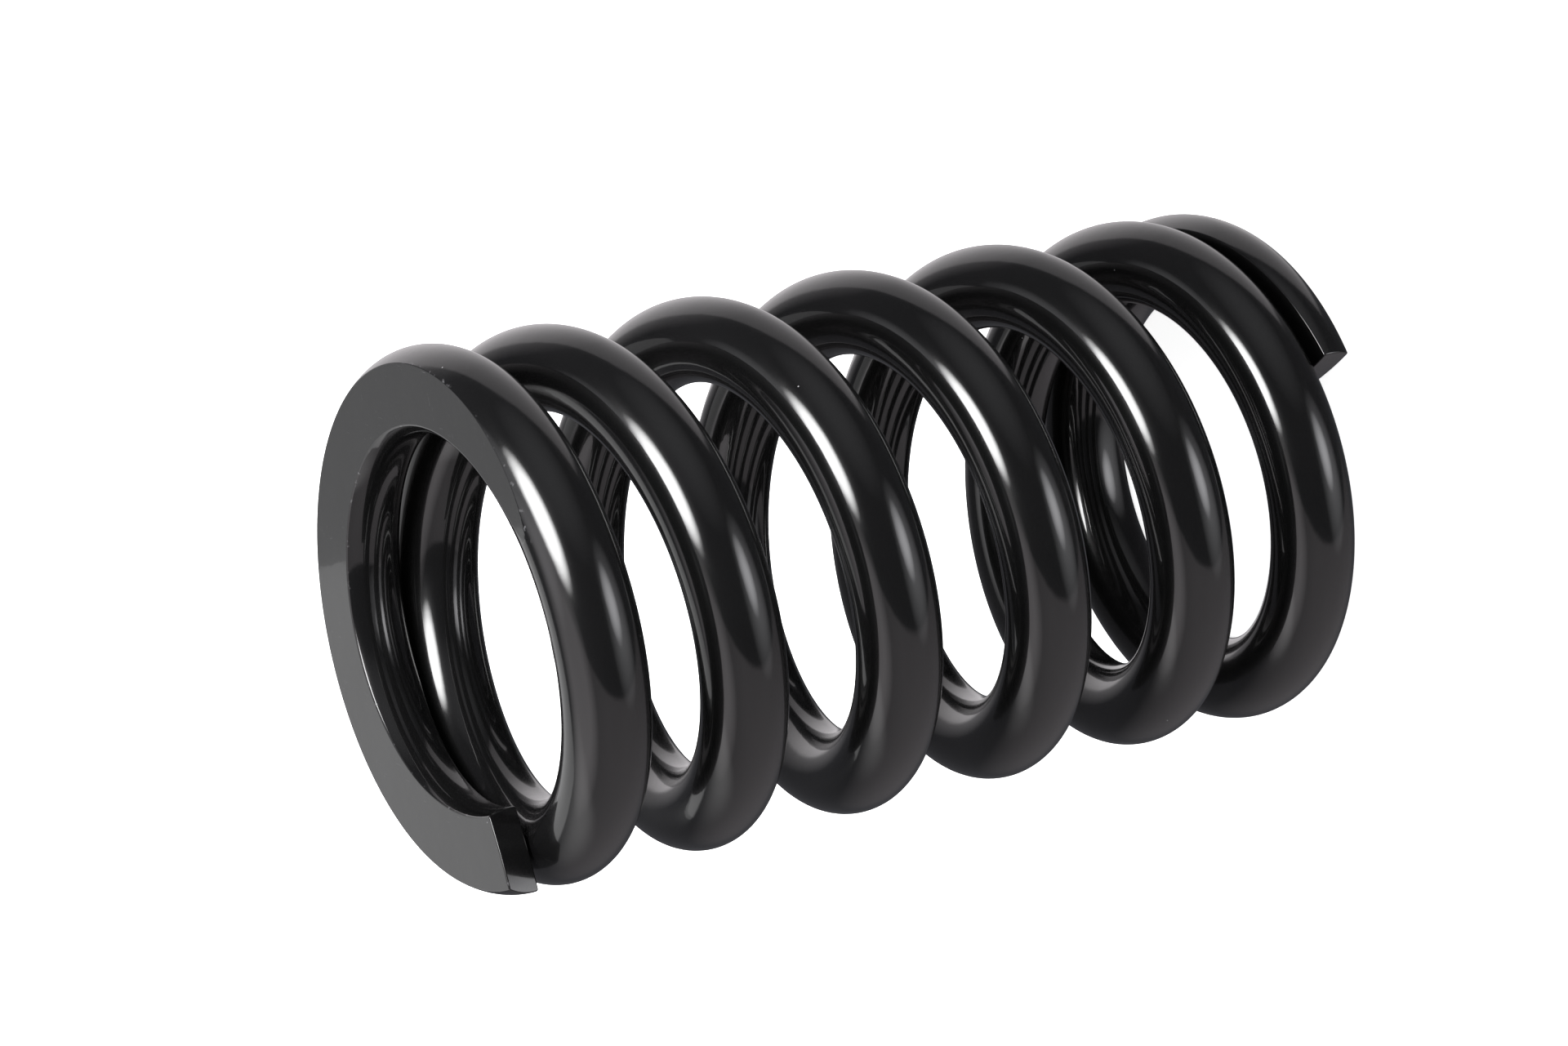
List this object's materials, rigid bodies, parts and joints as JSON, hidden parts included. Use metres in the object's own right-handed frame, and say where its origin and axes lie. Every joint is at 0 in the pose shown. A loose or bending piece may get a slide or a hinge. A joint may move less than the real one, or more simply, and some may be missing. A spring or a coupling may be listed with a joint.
{
  "type": "coil spring",
  "caption": "Heavy helical compression spring of round steel bar, painted gloss black, with closed and ground ends, for a vehicle's suspension.",
  "frame": {"origin": "centre of the lower ground face", "axes": "+Z along the spring's axis towards the other ground face, +X through the lower bar end"},
  "size_m": [0.19, 0.19, 0.3332],
  "materials": {
    "black_paint": "smooth high-gloss black paint"
  },
  "bodies": {
    "base": {"lower_ground_end_coil": "black_paint", "lower_lead_in": "black_paint"},
    "length_01": {"active_length_01": "black_paint"},
    "length_02": {"active_length_02": "black_paint"},
    "length_03": {"active_length_03": "black_paint"},
    "length_04": {"active_length_04": "black_paint"},
    "length_05": {"active_length_05": "black_paint"},
    "length_06": {"active_length_06": "black_paint"},
    "length_07": {"active_length_07": "black_paint"},
    "length_08": {"active_length_08": "black_paint"},
    "length_09": {"active_length_09": "black_paint"},
    "length_10": {"active_length_10": "black_paint"},
    "length_11": {"active_length_11": "black_paint"},
    "length_12": {"active_length_12": "black_paint"},
    "length_13": {"active_length_13": "black_paint"},
    "length_14": {"active_length_14": "black_paint"},
    "length_15": {"active_length_15": "black_paint"},
    "length_16": {"active_length_16": "black_paint"},
    "length_17": {"active_length_17": "black_paint"},
    "top": {"upper_lead_in": "black_paint", "upper_ground_end_coil": "black_paint"}
  },
  "joints": [
    {"name": "closing_01", "type": "slide", "parent": "base", "child": "length_01", "axis": [0, 0, -1], "range_m": [0, 0.000816], "stiffness_N_per_m": 6890000},
    {"name": "closing_02", "type": "slide", "parent": "length_01", "child": "length_02", "axis": [0, 0, -1], "range_m": [0, 0.0068], "stiffness_N_per_m": 6890000},
    {"name": "closing_03", "type": "slide", "parent": "length_02", "child": "length_03", "axis": [0, 0, -1], "range_m": [0, 0.0068], "stiffness_N_per_m": 6890000},
    {"name": "closing_04", "type": "slide", "parent": "length_03", "child": "length_04", "axis": [0, 0, -1], "range_m": [0, 0.0068], "stiffness_N_per_m": 6890000},
    {"name": "closing_05", "type": "slide", "parent": "length_04", "child": "length_05", "axis": [0, 0, -1], "range_m": [0, 0.0068], "stiffness_N_per_m": 6890000},
    {"name": "closing_06", "type": "slide", "parent": "length_05", "child": "length_06", "axis": [0, 0, -1], "range_m": [0, 0.0068], "stiffness_N_per_m": 6890000},
    {"name": "closing_07", "type": "slide", "parent": "length_06", "child": "length_07", "axis": [0, 0, -1], "range_m": [0, 0.0068], "stiffness_N_per_m": 6890000},
    {"name": "closing_08", "type": "slide", "parent": "length_07", "child": "length_08", "axis": [0, 0, -1], "range_m": [0, 0.0068], "stiffness_N_per_m": 6890000},
    {"name": "closing_09", "type": "slide", "parent": "length_08", "child": "length_09", "axis": [0, 0, -1], "range_m": [0, 0.0068], "stiffness_N_per_m": 6890000},
    {"name": "closing_10", "type": "slide", "parent": "length_09", "child": "length_10", "axis": [0, 0, -1], "range_m": [0, 0.0068], "stiffness_N_per_m": 6890000},
    {"name": "closing_11", "type": "slide", "parent": "length_10", "child": "length_11", "axis": [0, 0, -1], "range_m": [0, 0.0068], "stiffness_N_per_m": 6890000},
    {"name": "closing_12", "type": "slide", "parent": "length_11", "child": "length_12", "axis": [0, 0, -1], "range_m": [0, 0.0068], "stiffness_N_per_m": 6890000},
    {"name": "closing_13", "type": "slide", "parent": "length_12", "child": "length_13", "axis": [0, 0, -1], "range_m": [0, 0.0068], "stiffness_N_per_m": 6890000},
    {"name": "closing_14", "type": "slide", "parent": "length_13", "child": "length_14", "axis": [0, 0, -1], "range_m": [0, 0.0068], "stiffness_N_per_m": 6890000},
    {"name": "closing_15", "type": "slide", "parent": "length_14", "child": "length_15", "axis": [0, 0, -1], "range_m": [0, 0.0068], "stiffness_N_per_m": 6890000},
    {"name": "closing_16", "type": "slide", "parent": "length_15", "child": "length_16", "axis": [0, 0, -1], "range_m": [0, 0.0068], "stiffness_N_per_m": 6890000},
    {"name": "closing_17", "type": "slide", "parent": "length_16", "child": "length_17", "axis": [0, 0, -1], "range_m": [0, 0.0068], "stiffness_N_per_m": 6890000},
    {"name": "closing_18", "type": "slide", "parent": "length_17", "child": "top", "axis": [0, 0, -1], "range_m": [0, 0.000816], "stiffness_N_per_m": 6890000}
  ],
  "couplings": [
    {"joint": "closing_01", "follows": "closing_09", "ratio": 0.12},
    {"joint": "closing_02", "follows": "closing_09", "ratio": 1},
    {"joint": "closing_03", "follows": "closing_09", "ratio": 1},
    {"joint": "closing_04", "follows": "closing_09", "ratio": 1},
    {"joint": "closing_05", "follows": "closing_09", "ratio": 1},
    {"joint": "closing_06", "follows": "closing_09", "ratio": 1},
    {"joint": "closing_07", "follows": "closing_09", "ratio": 1},
    {"joint": "closing_08", "follows": "closing_09", "ratio": 1},
    {"joint": "closing_10", "follows": "closing_09", "ratio": 1},
    {"joint": "closing_11", "follows": "closing_09", "ratio": 1},
    {"joint": "closing_12", "follows": "closing_09", "ratio": 1},
    {"joint": "closing_13", "follows": "closing_09", "ratio": 1},
    {"joint": "closing_14", "follows": "closing_09", "ratio": 1},
    {"joint": "closing_15", "follows": "closing_09", "ratio": 1},
    {"joint": "closing_16", "follows": "closing_09", "ratio": 1},
    {"joint": "closing_17", "follows": "closing_09", "ratio": 1},
    {"joint": "closing_18", "follows": "closing_09", "ratio": 0.12}
  ]
}
